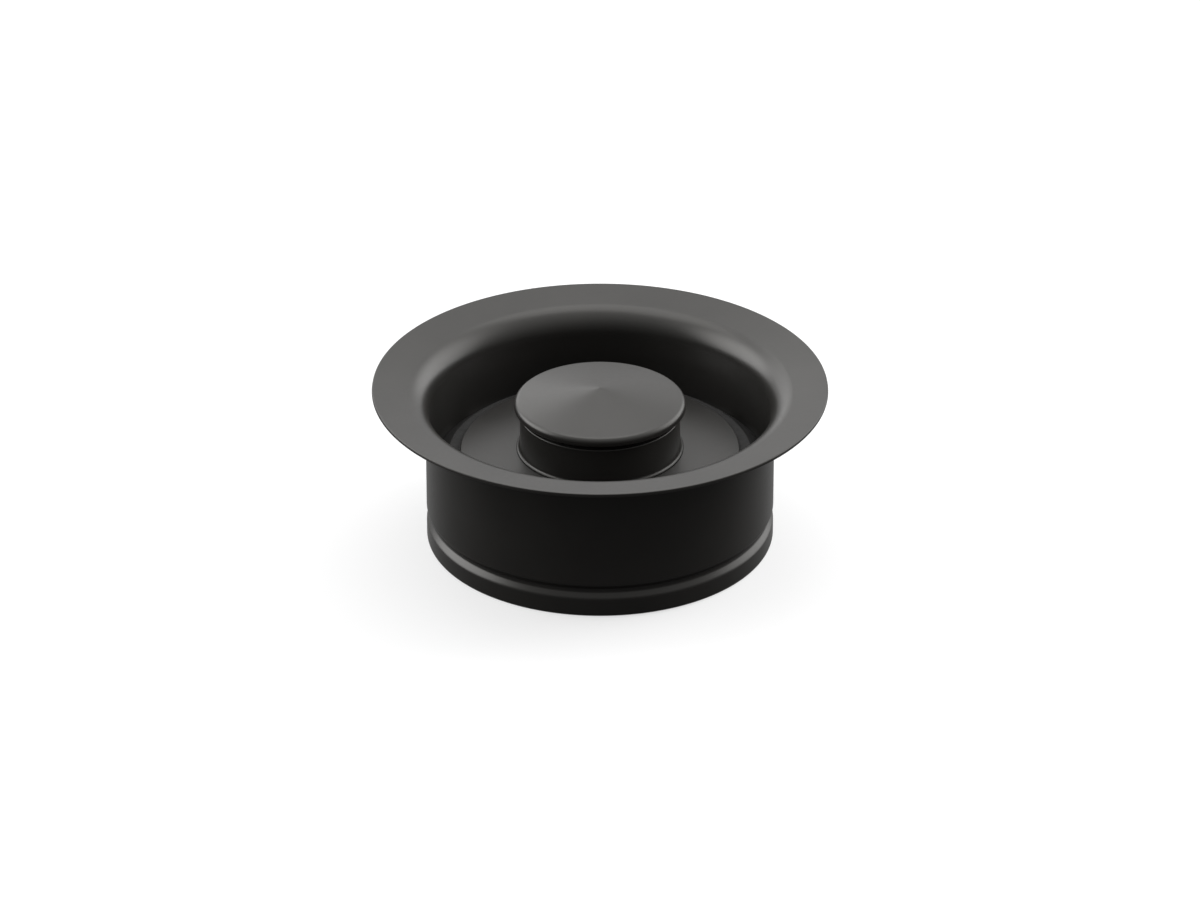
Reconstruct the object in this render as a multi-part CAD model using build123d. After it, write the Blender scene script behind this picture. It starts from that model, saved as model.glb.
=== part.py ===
from build123d import *
import math
import os

# Sink flange with a lift-out stopper, for the mouth of a food-waste disposal.
# Millimetres. +Z runs up the common axis. The origin is the centre of the flat ring
# that the sleeve stands on, and every height below is measured up from there.
# Outlines are lists of (radius, height, corner radius), turned about Z.

# Flange sleeve: one drawn sheet
SHEET = 0.9
HEIGHT = 41.9
RIM_R = 57.15              # a standard 4-1/2 in sink flange
RIM_DISH = 10.0            # degrees that the rim falls towards the sleeve
RIM_EDGE_R = 0.25
SLEEVE_R = 43.8            # passes a standard 3-1/2 in sink outlet
THROAT_R = 6.5             # visible round from the rim into the sleeve
LIP_BEND_R = 1.2           # outside of the bend at the foot of the sleeve
LIP_INNER_R = 41.0         # free edge of the lip, turned inwards

# Snap-ring groove, rolled into the sleeve: a bead on the inside, a groove outside
GROOVE_TOP = 9.0
GROOVE_LOW = 5.1
GROOVE_DEPTH = 1.1
GROOVE_FLANK = 1.5         # height of each sloping flank
GROOVE_SHOULDER_R = 1.4
GROOVE_FLOOR_R = 0.9

# Knob: a solid cap on a short tube
CAP_R = 21.55
CAP_APEX = 41.35
CAP_SHOULDER = 37.8        # where the cone would meet the side
CAP_UNDER = 35.8
CAP_TOP_ROUND = 1.4
CAP_LOW_ROUND = 0.4
NECK_R = 18.8
BARREL_TOP = 34.25
BARREL_R = 20.15
BARREL_BORE_R = 17.9
BARREL_ROUND = 0.25
FOOT_R = 21.0
FOOT_LIP = 0.15
FOOT_FILLET = 0.75
SPIGOT_DEPTH = 3.05        # how far the cap reaches down into the tube
SPIGOT_GAP = 0.05

# Stopper plate: flat below, falling slightly outwards on top
PLATE_R = 35.15
PLATE_TOP = 24.55
PLATE_FLAT_R = 21.6
PLATE_EDGE_TOP = 24.3
PLATE_UNDER = 23.1
PLATE_EDGE_R = 0.25

# Rubber seal ring: a flat web that ends in a falling skirt. It turns freely.
SEAL_GAP = 0.3             # clearance to the parts that turn inside it
SEAL_CREASE_R = 38.2
SEAL_TIP_R = 42.05
SEAL_TIP_TOP = 19.9
SEAL_WEB = 2.2
SEAL_SKIRT = 1.25          # thickness of the skirt at its tip
SEAL_HEEL_R = 39.0
SEAL_TIP_ROUND = 0.4

# Retainer: clamps against the plate and leaves a slot for the seal's web
RETAINER_R = 35.0
RETAINER_FLANGE = 1.5
HUB_R = 30.0
HUB_WALL = 2.5
BOSS_R = 8.0
RETAINER_ROUND = 0.4

# Guide cage: a hub with fins, whose feet stand over the sleeve's bead
FIN_COUNT = 4
FIN_THICKNESS = 2.6
FIN_OUTER_R = 42.3
FIN_TOP_R = 33.0           # the fin's top leaves the retainer here
FIN_SHOULDER = 14.4        # where the fin's sloping top would meet its outer edge
FIN_INNER_R = 37.0
FIN_ROUND = 3.2
FOOT_GAP = 0.3             # from a fin's foot to the bead
FOOT_BEVEL_R = 41.5        # the foot is bevelled from here outwards, to the bead's slope
FOOT_WIDTH = 3.6
FOOT_ROUND = 0.5
CAGE_HUB_R = 12.0
CAGE_HUB = 3.6

# Clamp screw (M6 x 25, hexagon head) with its washers and o-ring
SCREW_R = 3.0
SCREW_LENGTH = 25.0
SCREW_TIP_CHAMFER = 0.6
HEAD_FLATS = 10.0
HEAD_HEIGHT = 4.0
HEAD_CROWN_R = 4.75        # flat left inside the head's 30-degree chamfer
HEAD_CHAMFER = 30.0
TAPPED_GAP = 0.02
PASSAGE_R = 3.3
WASHER_R = 6.0
WASHER_THICKNESS = 1.0
LOCK_R = 5.9
LOCK_THICKNESS = 1.6
LOCK_SPLIT = 0.8
ORING_SECTION_R = 0.89
ORING_SEAT_R = 5.0
ORING_SEAT = 1.8
TAPPED_SPARE = 0.9         # depth left beyond the screw's tip

# Levels that follow from the stack
SEAL_TOP = PLATE_UNDER - SEAL_GAP
SEAL_UNDER = SEAL_TOP - SEAL_WEB
FLANGE_TOP = SEAL_UNDER - SEAL_GAP
RETAINER_UNDER = FLANGE_TOP - RETAINER_FLANGE
CAGE_UNDER = RETAINER_UNDER - CAGE_HUB
WASHER_UNDER = CAGE_UNDER - WASHER_THICKNESS
HEAD_TOP = WASHER_UNDER - LOCK_THICKNESS
SCREW_TIP = HEAD_TOP + SCREW_LENGTH


def upright_face(outline):
    """Face in the XZ plane, from a closed outline of (radius, height, corner radius)."""
    points = [(radius, height) for radius, height, corner in outline]
    corners = [corner for radius, height, corner in outline]
    return Plane.XZ * make_face(FilletPolyline(*points, radius=corners, close=True))


def turned(outline):
    """A full turn about Z of a closed outline."""
    return revolve(upright_face(outline), Axis.Z)


def ring(inner_r, outer_r, low, high):
    """A flat-sided ring about Z."""
    return turned([(inner_r, low, 0), (outer_r, low, 0), (outer_r, high, 0), (inner_r, high, 0)])


def rod(radius, low, high):
    """A plain cylinder about Z, from one height to another."""
    return extrude(Plane.XY.offset(low) * Circle(radius), amount=high - low)


def flange_sleeve():
    """The outer surface as one path from the rim to the lip, thickened inwards by the sheet.

    The path starts a little outside RIM_R and HEIGHT, by what rounding the rim's edge takes off.
    """
    dish = math.radians(RIM_DISH)
    edge_loss = RIM_EDGE_R * (math.cos(dish) + math.sin(dish) - 1)
    path_r = RIM_R + edge_loss
    rim_under = HEIGHT + edge_loss - SHEET * math.cos(dish)
    sleeve_corner = rim_under - (path_r - SLEEVE_R) * math.tan(dish)
    floor_r = SLEEVE_R - GROOVE_DEPTH
    path = [
        (path_r, rim_under),
        (SLEEVE_R, sleeve_corner),
        (SLEEVE_R, GROOVE_TOP),
        (floor_r, GROOVE_TOP - GROOVE_FLANK),
        (floor_r, GROOVE_LOW + GROOVE_FLANK),
        (SLEEVE_R, GROOVE_LOW),
        (SLEEVE_R, 0),
        (LIP_INNER_R, 0),
    ]
    bends = [
        THROAT_R - SHEET,
        GROOVE_SHOULDER_R,
        GROOVE_FLOOR_R,
        GROOVE_FLOOR_R,
        GROOVE_SHOULDER_R,
        LIP_BEND_R,
    ]
    outside = FilletPolyline(*path, radius=bends)
    section = make_face(offset(outside, amount=SHEET, side=Side.RIGHT))
    sleeve = revolve(Plane.XZ * section, Axis.Z)
    rim_edges = sleeve.edges().filter_by(GeomType.CIRCLE).sort_by(lambda edge: edge.radius)[-2:]
    return fillet(rim_edges, RIM_EDGE_R)


def knob_cap():
    """Shallow cone with a rounded edge, a neck, and a spigot tapped for the clamp screw."""
    spigot_r = BARREL_BORE_R - SPIGOT_GAP
    spigot_under = BARREL_TOP - SPIGOT_DEPTH
    tapped_r = SCREW_R + TAPPED_GAP
    return turned([
        (0, CAP_APEX, 0),
        (CAP_R, CAP_SHOULDER, CAP_TOP_ROUND),
        (CAP_R, CAP_UNDER, CAP_LOW_ROUND),
        (NECK_R, CAP_UNDER, 0),
        (NECK_R, BARREL_TOP, 0),
        (spigot_r, BARREL_TOP, 0),
        (spigot_r, spigot_under, CAP_LOW_ROUND),
        (tapped_r, spigot_under, 0),
        (tapped_r, SCREW_TIP + TAPPED_SPARE, 0),
        (0, SCREW_TIP + TAPPED_SPARE, 0),
    ])


def knob_barrel():
    """Tube between the plate and the cap, with a small fillet where it meets the plate."""
    return turned([
        (BARREL_BORE_R, PLATE_TOP, 0),
        (FOOT_R, PLATE_TOP, 0),
        (FOOT_R, PLATE_TOP + FOOT_LIP, 0),
        (BARREL_R, PLATE_TOP + FOOT_LIP, FOOT_FILLET),
        (BARREL_R, BARREL_TOP, BARREL_ROUND),
        (BARREL_BORE_R, BARREL_TOP, 0),
    ])


def stopper_plate():
    """Disc that closes the mouth. It is flat under the knob and falls towards its edge."""
    return turned([
        (PASSAGE_R, PLATE_UNDER, 0),
        (PLATE_R, PLATE_UNDER, PLATE_EDGE_R),
        (PLATE_R, PLATE_EDGE_TOP, PLATE_EDGE_R),
        (PLATE_FLAT_R, PLATE_TOP, 0),
        (PASSAGE_R, PLATE_TOP, 0),
    ])


def seal_ring():
    """Rubber ring, loose in the slot between plate and retainer, with a skirt to the wall."""
    fall = math.atan2(SEAL_TOP - SEAL_TIP_TOP, SEAL_TIP_R - SEAL_CREASE_R)
    tip_under_r = SEAL_TIP_R - SEAL_SKIRT * math.sin(fall)
    tip_under = SEAL_TIP_TOP - SEAL_SKIRT * math.cos(fall)
    return turned([
        (HUB_R + SEAL_GAP, SEAL_UNDER, 0),
        (SEAL_HEEL_R, SEAL_UNDER, SEAL_TIP_ROUND),
        (tip_under_r, tip_under, SEAL_TIP_ROUND),
        (SEAL_TIP_R, SEAL_TIP_TOP, SEAL_TIP_ROUND),
        (SEAL_CREASE_R, SEAL_TOP, SEAL_TIP_ROUND),
        (HUB_R + SEAL_GAP, SEAL_TOP, 0),
    ])


def seal_retainer():
    """Moulded disc under the seal. Its rim wall and boss meet the plate, hollow between them."""
    wall_r = HUB_R - HUB_WALL
    return turned([
        (PASSAGE_R, RETAINER_UNDER, 0),
        (RETAINER_R, RETAINER_UNDER, RETAINER_ROUND),
        (RETAINER_R, FLANGE_TOP, RETAINER_ROUND),
        (HUB_R, FLANGE_TOP, 0),
        (HUB_R, PLATE_UNDER, 0),
        (wall_r, PLATE_UNDER, 0),
        (wall_r, FLANGE_TOP, RETAINER_ROUND),
        (BOSS_R, FLANGE_TOP, RETAINER_ROUND),
        (BOSS_R, PLATE_UNDER, 0),
        (ORING_SEAT_R, PLATE_UNDER, 0),
        (ORING_SEAT_R, PLATE_UNDER - ORING_SEAT, 0),
        (PASSAGE_R, PLATE_UNDER - ORING_SEAT, 0),
    ])


def over_bead(radius):
    """Height of the line that lies FOOT_GAP above the bead's sloping shoulder, at a radius."""
    slope = math.atan2(GROOVE_FLANK, GROOVE_DEPTH)
    rise = (SHEET + FOOT_GAP) / math.cos(slope)
    return GROOVE_TOP + rise - (SLEEVE_R - radius) * math.tan(slope)


def guide_fin():
    """One upright fin, from the hub out to a foot whose corner is bevelled to the bead."""
    foot_bottom = over_bead(FOOT_BEVEL_R)
    profile = upright_face([
        (CAGE_HUB_R / 2, RETAINER_UNDER, 0),
        (FIN_TOP_R, RETAINER_UNDER, FIN_ROUND),
        (FIN_OUTER_R, FIN_SHOULDER, FIN_ROUND),
        (FIN_OUTER_R, over_bead(FIN_OUTER_R), 0),
        (FOOT_BEVEL_R, foot_bottom, 0),
        (FIN_OUTER_R - FOOT_WIDTH, foot_bottom, FOOT_ROUND),
        (FIN_INNER_R, CAGE_UNDER, FIN_ROUND),
        (CAGE_HUB_R / 2, CAGE_UNDER, 0),
    ])
    fin = extrude(profile, amount=FIN_THICKNESS / 2, both=True)
    exposed = fin.edges().filter_by(Axis.Y, reverse=True).filter_by(meets_air)
    return fillet(exposed, FOOT_ROUND)


def meets_air(edge):
    """True for a fin's edge that neither the retainer nor the hub covers."""
    middle = edge.center()
    return middle.Z < RETAINER_UNDER - FOOT_ROUND and middle.X > CAGE_HUB_R


def guide_cage():
    """Hub with equally spaced fins, the first at 45 degrees to +X."""
    pitch = 360 / FIN_COUNT
    cage = turned([
        (0, CAGE_UNDER, 0),
        (CAGE_HUB_R, CAGE_UNDER, FOOT_ROUND),
        (CAGE_HUB_R, RETAINER_UNDER, 0),
        (0, RETAINER_UNDER, 0),
    ])
    for index in range(FIN_COUNT):
        cage += Rot(0, 0, pitch * (index + 0.5)) * guide_fin()
    return cage - rod(PASSAGE_R, CAGE_UNDER, RETAINER_UNDER)


def stem_o_ring():
    """O-ring round the screw, in the seat at the top of the retainer's boss."""
    centre_r = SCREW_R + ORING_SECTION_R + TAPPED_GAP
    centre_height = PLATE_UNDER - ORING_SEAT / 2
    section = Plane.XZ * Pos(centre_r, centre_height) * Circle(ORING_SECTION_R)
    return revolve(section, Axis.Z)


def flat_washer():
    return ring(PASSAGE_R, WASHER_R, WASHER_UNDER, CAGE_UNDER)


def lock_washer():
    """Spring washer, split on one side."""
    middle = (HEAD_TOP + WASHER_UNDER) / 2
    split = Pos(LOCK_R, 0, middle) * Box(2 * LOCK_R, LOCK_SPLIT, 2 * LOCK_THICKNESS)
    return ring(PASSAGE_R, LOCK_R, HEAD_TOP, WASHER_UNDER) - split


def clamp_screw():
    """Hexagon-headed screw that holds the whole stopper together, up into the cap."""
    head_under = HEAD_TOP - HEAD_HEIGHT
    corner_rise = (HEAD_FLATS - HEAD_CROWN_R) * math.tan(math.radians(HEAD_CHAMFER))
    crown = turned([
        (0, head_under, 0),
        (HEAD_CROWN_R, head_under, 0),
        (HEAD_FLATS, head_under + corner_rise, 0),
        (HEAD_FLATS, HEAD_TOP, 0),
        (0, HEAD_TOP, 0),
    ])
    hexagon = Plane.XY.offset(head_under) * RegularPolygon(HEAD_FLATS / 2, 6, major_radius=False)
    head = extrude(hexagon, HEAD_HEIGHT) & crown
    shank = turned([
        (0, HEAD_TOP, 0),
        (SCREW_R, HEAD_TOP, 0),
        (SCREW_R, SCREW_TIP - SCREW_TIP_CHAMFER, 0),
        (SCREW_R - SCREW_TIP_CHAMFER, SCREW_TIP, 0),
        (0, SCREW_TIP, 0),
    ])
    return head + shank


NODES = [
    flange_sleeve,
    knob_cap,
    knob_barrel,
    stopper_plate,
    seal_ring,
    seal_retainer,
    guide_cage,
    stem_o_ring,
    flat_washer,
    lock_washer,
    clamp_screw,
]

os.makedirs("parts", exist_ok=True)
for make_node in NODES:
    export_step(make_node(), f"parts/{make_node.__name__}.step")
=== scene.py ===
import math

import bmesh
import bpy
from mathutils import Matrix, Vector


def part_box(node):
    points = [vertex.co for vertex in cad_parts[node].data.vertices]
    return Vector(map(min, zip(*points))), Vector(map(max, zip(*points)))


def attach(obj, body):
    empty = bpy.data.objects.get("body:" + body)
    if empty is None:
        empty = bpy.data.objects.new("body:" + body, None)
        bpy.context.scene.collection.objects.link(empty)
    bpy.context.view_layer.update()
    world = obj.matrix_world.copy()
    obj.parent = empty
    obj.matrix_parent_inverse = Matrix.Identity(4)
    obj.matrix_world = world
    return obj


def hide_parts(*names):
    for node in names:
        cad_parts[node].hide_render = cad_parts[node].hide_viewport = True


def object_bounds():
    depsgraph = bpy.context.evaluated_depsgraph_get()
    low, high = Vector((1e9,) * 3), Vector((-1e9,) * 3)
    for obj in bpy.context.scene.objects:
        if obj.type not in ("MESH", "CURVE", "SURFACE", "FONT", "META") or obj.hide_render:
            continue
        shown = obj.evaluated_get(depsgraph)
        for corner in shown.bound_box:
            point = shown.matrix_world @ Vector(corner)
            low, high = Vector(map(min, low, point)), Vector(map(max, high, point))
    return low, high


# A matte black sink flange with its lift-out stopper, standing on a pale floor.
# The frame is in metres. Outlines here are lists of (radius, height, corner radius) in
# millimetres, like the CAD's, and every one is turned about Z.

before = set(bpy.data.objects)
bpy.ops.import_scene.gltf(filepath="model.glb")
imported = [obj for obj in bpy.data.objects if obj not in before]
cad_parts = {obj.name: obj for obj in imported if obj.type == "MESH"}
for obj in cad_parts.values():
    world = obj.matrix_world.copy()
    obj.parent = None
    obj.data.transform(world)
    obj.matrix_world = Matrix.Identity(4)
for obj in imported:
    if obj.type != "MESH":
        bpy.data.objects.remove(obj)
CAD_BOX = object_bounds()

MM = 0.001
TURN_STEPS = 288          # faces round a turned piece
ARC_STEP = math.radians(7.5)
MIN_ARC_STEPS = 4
STRAIGHT = 0.01           # radians: a corner that turns by less stays a point
HOLD = 0.12               # mm, from a corner to the loop that keeps the next stretch flat
ON_AXIS = 1e-6            # mm: a point nearer to the axis is one vertex, not a ring

# Camera: a long lens that looks down at the object from the front
LENS = 190.7
SENSOR = 36.0
LOOK_DOWN = 28.17         # degrees
CAMERA_DISTANCE = 1.6
AIM_BELOW_TOP = 18.3      # mm, from the rim's top down to the point in the middle of the view

# Light, as radiance: the world is brightest behind and above, with a glow on each side
WORLD_LEAN = 50           # degrees that the world's brightest direction stands over the back
WORLD_BRIGHT = 1.12
WORLD_DARK = 0.15
WORLD_DARK_AT = -0.5      # cosine of the angle from the brightest direction to the darkest
HORIZON = (-0.1, 0.5)     # sines of the elevations between which the world fades downwards
BELOW_HORIZON = 0.55      # what the fade leaves of the radiance
# azimuth, elevation, degrees to the glow's edge, radiance at its middle
GLOWS = (
    (168, 22, 39, 3.7),
    (31, 20, 40, 2.25),
)
BOX_DISTANCE = 1.2
# name, azimuth, elevation, width, height, radiance, and whether glossy surfaces mirror it
SOFTBOXES = (
    ("box_back", 113, 24, 0.6, 0.7, 1.0, True),
    ("box_above", 105, 70, 1.0, 0.8, 1.5, True),
    ("box_floor", 18, 38, 0.6, 0.6, 7.0, False),
)
FLOOR_SIZE = 3.0          # from the middle to each side
FLOOR_DROP = 0.00002      # keeps the floor off the flat ring that the sleeve stands on
FLOOR_GLOW = 0.64
FLOOR_WHITE = 0.31
WHITE = (1, 1, 1, 1)

# What a noise texture mostly stays between
NOISE_LOW = 0.3
NOISE_HIGH = 0.7


def levels(node):
    """(outer radius, lowest height, highest height) of a round CAD node, in millimetres."""
    low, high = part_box(node)
    return high.x / MM, low.z / MM, high.z / MM


# ---- outlines ----

def unit(start, end):
    """The direction from one point of an outline to another."""
    return (Vector(end[:2]) - Vector(start[:2])).normalized()


def beside(path, distance):
    """A path of (radius, height, bend) moved to its right, with its bends made to suit."""
    moved = []
    for index, (radius, height, bend) in enumerate(path):
        ahead = unit(path[index], path[index + 1]) if index + 1 < len(path) else None
        behind = unit(path[index - 1], path[index]) if index else ahead
        ahead = ahead or behind
        right_a = Vector((behind.y, -behind.x))
        right_b = Vector((ahead.y, -ahead.x))
        shift = (right_a + right_b) / (1 + right_a.dot(right_b)) * distance
        turn = behind.x * ahead.y - behind.y * ahead.x
        if bend:
            bend += math.copysign(distance, turn)
        moved.append((radius + shift.x, height + shift.y, bend))
    return moved


def corner_points(before, corner, after):
    """A corner as points: itself if it's sharp, or else an arc, with a holding point each side."""
    here = Vector(corner[:2])
    back = unit(corner, before)
    on = unit(corner, after)
    opening = back.angle(on)
    if not corner[2] or math.pi - opening < STRAIGHT:
        return [here + back * HOLD, here, here + on * HOLD]
    reach = corner[2] / math.tan(opening / 2)
    centre = here + (back + on).normalized() * corner[2] / math.sin(opening / 2)
    start = here + back * reach - centre
    sweep = math.pi - opening
    if back.x * on.y - back.y * on.x > 0:
        sweep = -sweep
    steps = max(MIN_ARC_STEPS, round(abs(sweep) / ARC_STEP))
    arc = []
    for step in range(steps + 1):
        angle = sweep * step / steps
        turned_start = Vector((
            start.x * math.cos(angle) - start.y * math.sin(angle),
            start.x * math.sin(angle) + start.y * math.cos(angle),
        ))
        arc.append(centre + turned_start)
    return [here + back * (reach + HOLD), *arc, here + on * (reach + HOLD)]


def rounded(outline, closed=True):
    """The points of an outline, with its corners rounded. An open one starts and ends as given."""
    count = len(outline)
    points = []
    for index, corner in enumerate(outline):
        if not closed and index in (0, count - 1):
            points.append(Vector(corner[:2]))
        else:
            points += corner_points(outline[index - 1], corner, outline[(index + 1) % count])
    return points


# ---- meshes ----

def turned_piece(name, outline, closed=True):
    """A smooth mesh turned about Z. An open outline runs from the axis back to the axis."""
    mesh = bmesh.new()
    rings = []
    for point in rounded(outline, closed):
        if point.x < ON_AXIS:
            rings.append([mesh.verts.new((0, 0, point.y * MM))])
            continue
        ring = []
        for step in range(TURN_STEPS):
            angle = 2 * math.pi * step / TURN_STEPS
            ring.append(mesh.verts.new((
                point.x * MM * math.cos(angle),
                point.x * MM * math.sin(angle),
                point.y * MM,
            )))
        rings.append(ring)
    pairs = list(zip(rings, rings[1:]))
    if closed:
        pairs.append((rings[-1], rings[0]))
    for first, second in pairs:
        for step in range(TURN_STEPS):
            after = (step + 1) % TURN_STEPS
            quad = [
                first[step % len(first)],
                first[after % len(first)],
                second[after % len(second)],
                second[step % len(second)],
            ]
            mesh.faces.new(list(dict.fromkeys(quad)))
    bmesh.ops.recalc_face_normals(mesh, faces=mesh.faces)
    return finished(name, mesh)


def finished(name, mesh):
    """Makes a smooth-shaded object of a bmesh."""
    for face in mesh.faces:
        face.smooth = True
    data = bpy.data.meshes.new(name)
    mesh.to_mesh(data)
    mesh.free()
    piece = bpy.data.objects.new(name, data)
    bpy.context.scene.collection.objects.link(piece)
    return piece


# ---- materials ----

def new_material(name, colour, roughness, metallic=0.0, specular=0.5):
    """A material and its shader, set to the surface's middle colour and roughness."""
    material = bpy.data.materials.new(name)
    material.use_nodes = True
    shader = material.node_tree.nodes["Principled BSDF"]
    shader.inputs["Base Color"].default_value = (*colour, 1)
    shader.inputs["Roughness"].default_value = roughness
    shader.inputs["Metallic"].default_value = metallic
    shader.inputs["Specular IOR Level"].default_value = specular
    return material, shader


def noise(material, scale, detail=3.0):
    """A noise texture in the object's own space, with its scale in features per metre."""
    nodes = material.node_tree.nodes
    texture = nodes.new("ShaderNodeTexNoise")
    texture.inputs["Scale"].default_value = scale
    texture.inputs["Detail"].default_value = detail
    place = nodes.new("ShaderNodeTexCoord")
    material.node_tree.links.new(place.outputs["Object"], texture.inputs["Vector"])
    return texture.outputs["Fac"]


def spread(material, value, low, high):
    """Maps a noise value from its usual range onto low to high."""
    ramp = material.node_tree.nodes.new("ShaderNodeMapRange")
    ramp.inputs["From Min"].default_value = NOISE_LOW
    ramp.inputs["From Max"].default_value = NOISE_HIGH
    ramp.inputs["To Min"].default_value = low
    ramp.inputs["To Max"].default_value = high
    material.node_tree.links.new(value, ramp.inputs["Value"])
    return ramp.outputs["Result"]


def tint(material, shader, scale, dark, light):
    """Colours the surface between two colours, in cloudy patches."""
    value = spread(material, noise(material, scale), 0, 1)
    mix = material.node_tree.nodes.new("ShaderNodeMix")
    mix.data_type = "RGBA"
    mix.inputs["A"].default_value = (*dark, 1)
    mix.inputs["B"].default_value = (*light, 1)
    material.node_tree.links.new(value, mix.inputs["Factor"])
    material.node_tree.links.new(mix.outputs["Result"], shader.inputs["Base Color"])


def roughen(material, shader, scale, low, high):
    """Varies the surface's roughness between two values, in cloudy patches."""
    value = spread(material, noise(material, scale), low, high)
    material.node_tree.links.new(value, shader.inputs["Roughness"])


def bump(material, shader, value, height, strength):
    """Raises the surface by a value, over a height in metres."""
    node = material.node_tree.nodes.new("ShaderNodeBump")
    node.inputs["Strength"].default_value = strength
    node.inputs["Distance"].default_value = height
    material.node_tree.links.new(value, node.inputs["Height"])
    material.node_tree.links.new(node.outputs["Normal"], shader.inputs["Normal"])


def black_coat():
    """Matte black coat on metal: even, with a very fine grain."""
    material, shader = new_material("black_coat", (0.018, 0.0172, 0.016), 0.3)
    shader.inputs["Specular Tint"].default_value = (1, 0.985, 0.955, 1)
    tint(material, shader, 70, (0.016, 0.0153, 0.0142), (0.020, 0.0191, 0.0178))
    roughen(material, shader, scale=900, low=0.28, high=0.315)
    grain = noise(material, scale=5200, detail=2)
    bump(material, shader, grain, height=0.000004, strength=0.25)
    return material


def seal_rubber():
    """Moulded rubber: darker and drier than the coat, with a faint bloom."""
    material, shader = new_material("seal_rubber", (0.019, 0.0185, 0.018), 0.65, specular=0.3)
    tint(material, shader, 350, (0.016, 0.0157, 0.015), (0.022, 0.0216, 0.021))
    roughen(material, shader, scale=1300, low=0.58, high=0.72)
    grain = noise(material, scale=3200, detail=4)
    bump(material, shader, grain, height=0.000012, strength=0.6)
    return material


def moulded_acetal():
    """Black moulded plastic with an eggshell surface."""
    material, shader = new_material("moulded_acetal", (0.03, 0.03, 0.03), 0.45)
    tint(material, shader, 160, (0.027, 0.027, 0.027), (0.034, 0.034, 0.034))
    roughen(material, shader, scale=1500, low=0.38, high=0.5)
    grain = noise(material, scale=4200, detail=3)
    bump(material, shader, grain, height=0.00001, strength=0.5)
    return material


def fastener_steel():
    """Bright stainless steel with fine turning marks round Z."""
    material, shader = new_material("fastener_steel", (0.6, 0.59, 0.57), 0.3, metallic=1.0)
    tree = material.node_tree
    rings = tree.nodes.new("ShaderNodeTexWave")
    rings.wave_type = "RINGS"
    rings.rings_direction = "Z"
    rings.inputs["Scale"].default_value = 900
    rings.inputs["Distortion"].default_value = 1.5
    place = tree.nodes.new("ShaderNodeTexCoord")
    tree.links.new(place.outputs["Object"], rings.inputs["Vector"])
    tint(material, shader, 500, (0.54, 0.53, 0.51), (0.66, 0.65, 0.63))
    roughen(material, shader, scale=2500, low=0.24, high=0.38)
    bump(material, shader, rings.outputs["Fac"], height=0.000006, strength=0.5)
    return material


# ---- the flange ----

def flange_outline():
    """The sheet's outer surface from rim to lip, and back along its inner surface."""
    rim_r, base, top = levels("flange_sleeve")
    sheet = 0.9
    dish = math.radians(10)
    edge_r = 0.25
    sleeve_r = 43.8
    throat_r = 6.5
    groove_top, groove_low = base + 9.0, base + 5.1
    groove_depth, flank = 1.1, 1.5
    shoulder_r, floor_bend = 1.4, 0.9
    lip_bend, lip_inner_r, lip_end_r = 1.2, 41.0, 0.2
    edge_loss = edge_r * (math.cos(dish) + math.sin(dish) - 1)
    start_r = rim_r + edge_loss
    rim_under = top + edge_loss - sheet * math.cos(dish)
    floor_r = sleeve_r - groove_depth
    outside = [
        (start_r, rim_under, 0),
        (sleeve_r, rim_under - (start_r - sleeve_r) * math.tan(dish), throat_r - sheet),
        (sleeve_r, groove_top, shoulder_r),
        (floor_r, groove_top - flank, floor_bend),
        (floor_r, groove_low + flank, floor_bend),
        (sleeve_r, groove_low, shoulder_r),
        (sleeve_r, base, lip_bend),
        (lip_inner_r, base, 0),
    ]
    outline = outside + beside(outside, sheet)[::-1]
    last = len(outside)
    for index, bend in ((0, edge_r), (last - 1, lip_end_r), (last, lip_end_r), (-1, edge_r)):
        outline[index] = (*outline[index][:2], bend)
    return outline


# ---- the stopper ----

def cap_outline():
    """Shallow cone with a rounded edge, its neck, and the tapped spigot below."""
    cap_r, spigot_under, apex = levels("knob_cap")
    barrel_top = levels("knob_barrel")[2]
    screw_tip = levels("clamp_screw")[2]
    shoulder = apex - 3.55
    under = barrel_top + 1.55
    neck_r, spigot_r, tapped_r = 18.8, 17.85, 3.02
    tapped_end = screw_tip + 0.9
    top_round, low_round, neck_round = 1.4, 0.4, 0.15
    tip_r = 0.4           # a ring near the apex, which keeps the cone's shading straight
    return [
        (0, apex, 0),
        (tip_r, apex - (apex - shoulder) * tip_r / cap_r, 0),
        (cap_r, shoulder, top_round),
        (cap_r, under, low_round),
        (neck_r, under, neck_round),
        (neck_r, barrel_top, 0),
        (spigot_r, barrel_top, 0),
        (spigot_r, spigot_under, low_round),
        (tapped_r, spigot_under, 0),
        (tapped_r, tapped_end, 0),
        (0, tapped_end, 0),
    ]


def barrel_outline():
    """Short tube with a rounded top edge and a small fillet where it meets the plate."""
    foot_r, low, top = levels("knob_barrel")
    bore_r, barrel_r = 17.9, 20.15
    lip, fillet = 0.15, 0.75
    top_round = 0.35
    return [
        (bore_r, low, 0),
        (foot_r, low, 0),
        (foot_r, low + lip, 0),
        (barrel_r, low + lip, fillet),
        (barrel_r, top, top_round),
        (bore_r, top, 0),
    ]


def plate_outline():
    """Disc that is flat under the knob and falls towards its edge."""
    plate_r, low, top = levels("stopper_plate")
    passage_r, flat_r = 3.3, 21.6
    edge_top = low + 1.2
    edge_round, crease_round = 0.25, 3.0
    return [
        (passage_r, low, 0),
        (plate_r, low, edge_round),
        (plate_r, edge_top, edge_round),
        (flat_r, top, crease_round),
        (passage_r, top, 0),
    ]


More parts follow.
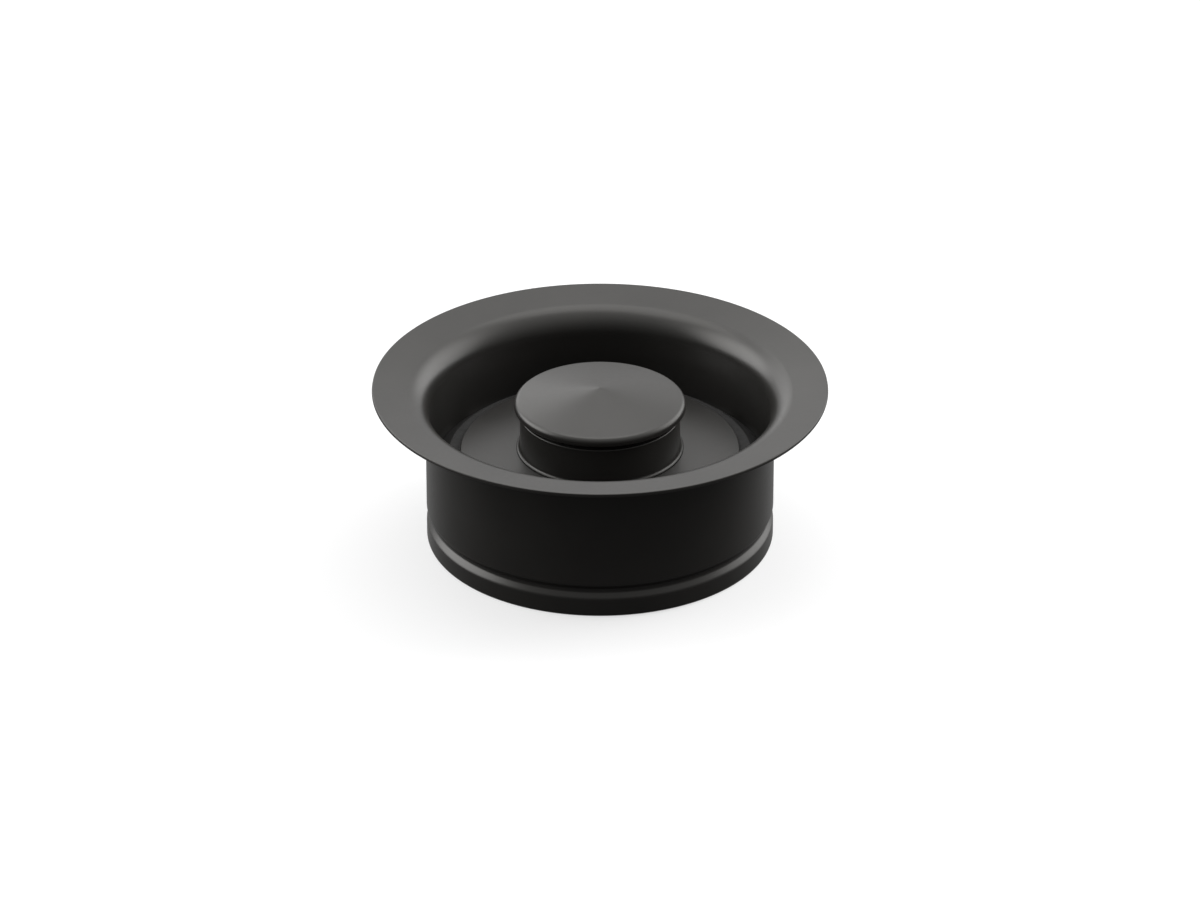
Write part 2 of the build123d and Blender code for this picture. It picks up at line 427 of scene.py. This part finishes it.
def seal_outline():
    """Rubber ring with a flat web and a falling skirt."""
    top = levels("seal_ring")[2]
    bore_r, crease_r, heel_r, tip_r = 30.3, 38.2, 39.0, 42.05
    tip_top = top - 2.9
    web, skirt = 2.2, 1.25
    bore_round, soft_round = 0.2, 0.4
    fall = math.atan2(top - tip_top, tip_r - crease_r)
    return [
        (bore_r, top - web, bore_round),
        (heel_r, top - web, soft_round),
        (tip_r - skirt * math.sin(fall), tip_top - skirt * math.cos(fall), soft_round),
        (tip_r, tip_top, soft_round),
        (crease_r, top, soft_round),
        (bore_r, top, bore_round),
    ]


def turned_pieces(coat, rubber):
    """The pieces that stand for the round CAD nodes, each on its node's body."""
    plans = [
        ("flange_sleeve", "flange", flange_outline(), True, coat, "black_coat"),
        ("knob_cap", "stopper", cap_outline(), False, coat, "black_coat"),
        ("knob_barrel", "stopper", barrel_outline(), True, coat, "black_coat"),
        ("stopper_plate", "stopper", plate_outline(), True, coat, "black_coat"),
        ("seal_ring", "seal", seal_outline(), True, rubber, "seal_rubber"),
    ]
    for node, body, outline, closed, material, slot in plans:
        piece = turned_piece(node + "_turned", outline, closed)
        piece.data.materials.append(material)
        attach(piece, body)
        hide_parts(node)


def dress_node(node, material):
    """Gives a CAD node that keeps its shape a better material."""
    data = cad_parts[node].data
    data.materials.clear()
    data.materials.append(material)


# ---- floor, light and camera ----

def pale_floor():
    """A large white floor that the object doesn't mirror."""
    mesh = bmesh.new()
    corners = [(-1, -1), (1, -1), (1, 1), (-1, 1)]
    mesh.faces.new([
        mesh.verts.new((x * FLOOR_SIZE, y * FLOOR_SIZE, -FLOOR_DROP)) for x, y in corners
    ])
    floor = finished("floor", mesh)
    white = (FLOOR_WHITE, FLOOR_WHITE, FLOOR_WHITE)
    material, shader = new_material("floor_white", white, 0.9, specular=0.0)
    shader.inputs["Emission Color"].default_value = WHITE
    shader.inputs["Emission Strength"].default_value = FLOOR_GLOW
    floor.data.materials.append(material)
    floor.visible_glossy = False
    floor.visible_diffuse = False


def direction(azimuth, elevation):
    """Where an azimuth, from +X towards +Y, and an elevation point, both in degrees."""
    turn, rise = math.radians(azimuth), math.radians(elevation)
    return Vector((
        math.cos(turn) * math.cos(rise),
        math.sin(turn) * math.cos(rise),
        math.sin(rise),
    ))


def softbox(aim, name, azimuth, elevation, width, height, radiance, mirrored):
    """A rectangular light that looks at the object from an azimuth and an elevation."""
    light = bpy.data.lights.new(name, "AREA")
    light.shape = "RECTANGLE"
    light.size = width
    light.size_y = height
    light.energy = radiance * math.pi * width * height
    lamp = bpy.data.objects.new(name, light)
    bpy.context.scene.collection.objects.link(lamp)
    away = direction(azimuth, elevation)
    lamp.location = aim + away * BOX_DISTANCE
    lamp.rotation_mode = "QUATERNION"
    lamp.rotation_quaternion = away.to_track_quat("Z", "Y")
    lamp.visible_glossy = mirrored


def sky_ramp(tree, towards, spans, values):
    """A smooth ramp over the sky, by the cosine of the angle to a direction."""
    place = tree.nodes.new("ShaderNodeTexCoord")
    cosine = tree.nodes.new("ShaderNodeVectorMath")
    cosine.operation = "DOT_PRODUCT"
    cosine.inputs[1].default_value = towards
    tree.links.new(place.outputs["Generated"], cosine.inputs[0])
    ramp = tree.nodes.new("ShaderNodeMapRange")
    ramp.interpolation_type = "SMOOTHSTEP"
    ramp.inputs["From Min"].default_value = spans[0]
    ramp.inputs["From Max"].default_value = spans[1]
    ramp.inputs["To Min"].default_value = values[0]
    ramp.inputs["To Max"].default_value = values[1]
    tree.links.new(cosine.outputs["Value"], ramp.inputs["Value"])
    return ramp.outputs["Result"]


def combined(tree, operation, first, second):
    """A math node's result for two values."""
    node = tree.nodes.new("ShaderNodeMath")
    node.operation = operation
    tree.links.new(first, node.inputs[0])
    tree.links.new(second, node.inputs[1])
    return node.outputs["Value"]


def studio(aim):
    """Soft studio light: a white backdrop, side glows, and light from above and behind."""
    world = bpy.data.worlds.new("studio")
    world.use_nodes = True
    tree = world.node_tree
    nodes = tree.nodes
    links = tree.links
    nodes.clear()
    lit = sky_ramp(tree, direction(90, WORLD_LEAN), (WORLD_DARK_AT, 1), (WORLD_DARK, WORLD_BRIGHT))
    rise = sky_ramp(tree, (0, 0, 1), HORIZON, (BELOW_HORIZON, 1))
    radiance = combined(tree, "MULTIPLY", lit, rise)
    for azimuth, elevation, reach, peak in GLOWS:
        edge = math.cos(math.radians(reach))
        glow = sky_ramp(tree, direction(azimuth, elevation), (edge, 1), (0, peak))
        radiance = combined(tree, "ADD", radiance, glow)
    soft = nodes.new("ShaderNodeBackground")
    soft.inputs["Color"].default_value = WHITE
    links.new(radiance, soft.inputs["Strength"])
    backdrop = nodes.new("ShaderNodeBackground")
    backdrop.inputs["Color"].default_value = WHITE
    seen = nodes.new("ShaderNodeLightPath")
    choose = nodes.new("ShaderNodeMixShader")
    links.new(seen.outputs["Is Camera Ray"], choose.inputs["Fac"])
    links.new(soft.outputs["Background"], choose.inputs[1])
    links.new(backdrop.outputs["Background"], choose.inputs[2])
    output = nodes.new("ShaderNodeOutputWorld")
    links.new(choose.outputs["Shader"], output.inputs["Surface"])
    bpy.context.scene.world = world
    for plan in SOFTBOXES:
        softbox(aim, *plan)
    bpy.context.scene.view_settings.view_transform = "Standard"


def front_camera(aim):
    """A camera in front of the object, looking down at the aim."""
    elevation = math.radians(LOOK_DOWN)
    data = bpy.data.cameras.new("camera")
    data.lens = LENS
    data.sensor_width = SENSOR
    data.clip_start = 0.1
    data.clip_end = 20.0
    camera = bpy.data.objects.new("camera", data)
    bpy.context.scene.collection.objects.link(camera)
    away = Vector((0, -math.cos(elevation), math.sin(elevation)))
    camera.location = aim + away * CAMERA_DISTANCE
    camera.rotation_mode = "QUATERNION"
    camera.rotation_quaternion = away.to_track_quat("Z", "Y")
    bpy.context.scene.camera = camera


aim = Vector((0, 0, CAD_BOX[1].z - AIM_BELOW_TOP * MM))
front_camera(aim)
studio(aim)
pale_floor()

coat = black_coat()
rubber = seal_rubber()
acetal = moulded_acetal()
steel = fastener_steel()
turned_pieces(coat, rubber)
for node, material in (
    ("seal_retainer", acetal),
    ("guide_cage", acetal),
    ("stem_o_ring", rubber),
    ("flat_washer", steel),
    ("lock_washer", steel),
    ("clamp_screw", steel),
):
    dress_node(node, material)
